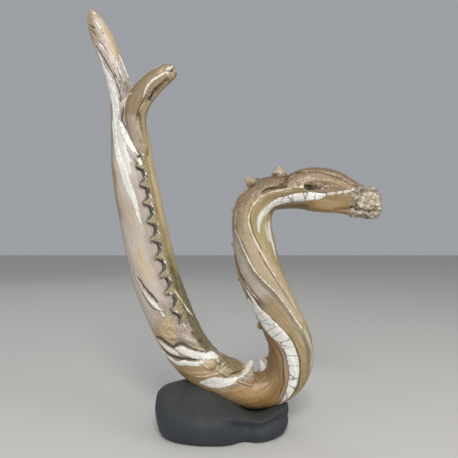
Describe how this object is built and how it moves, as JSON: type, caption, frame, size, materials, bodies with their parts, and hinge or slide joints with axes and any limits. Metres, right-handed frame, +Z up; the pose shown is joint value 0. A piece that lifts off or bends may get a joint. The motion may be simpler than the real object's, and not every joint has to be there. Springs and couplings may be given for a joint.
{
  "type": "dragon statue",
  "caption": "Tabletop dragon in marbled clay: a long body bent in an S with a forked tail, saw-edged fin and long head, nested in a dark saddle-shaped stone.",
  "frame": {"origin": "middle of the flat underside of the stone", "axes": "+Z up, +X towards the side the head points to, -Y towards the viewer of the figure's front"},
  "size_m": [0.258, 0.0899, 0.3714],
  "materials": {
    "marbled_clay": "satin clear glaze over tan, olive, lavender-grey, white and charcoal clays",
    "dark_stone": "matte, water-worn"
  },
  "bodies": {
    "root": {"dragon": "marbled_clay", "stone_base": "dark_stone"}
  },
  "joints": []
}
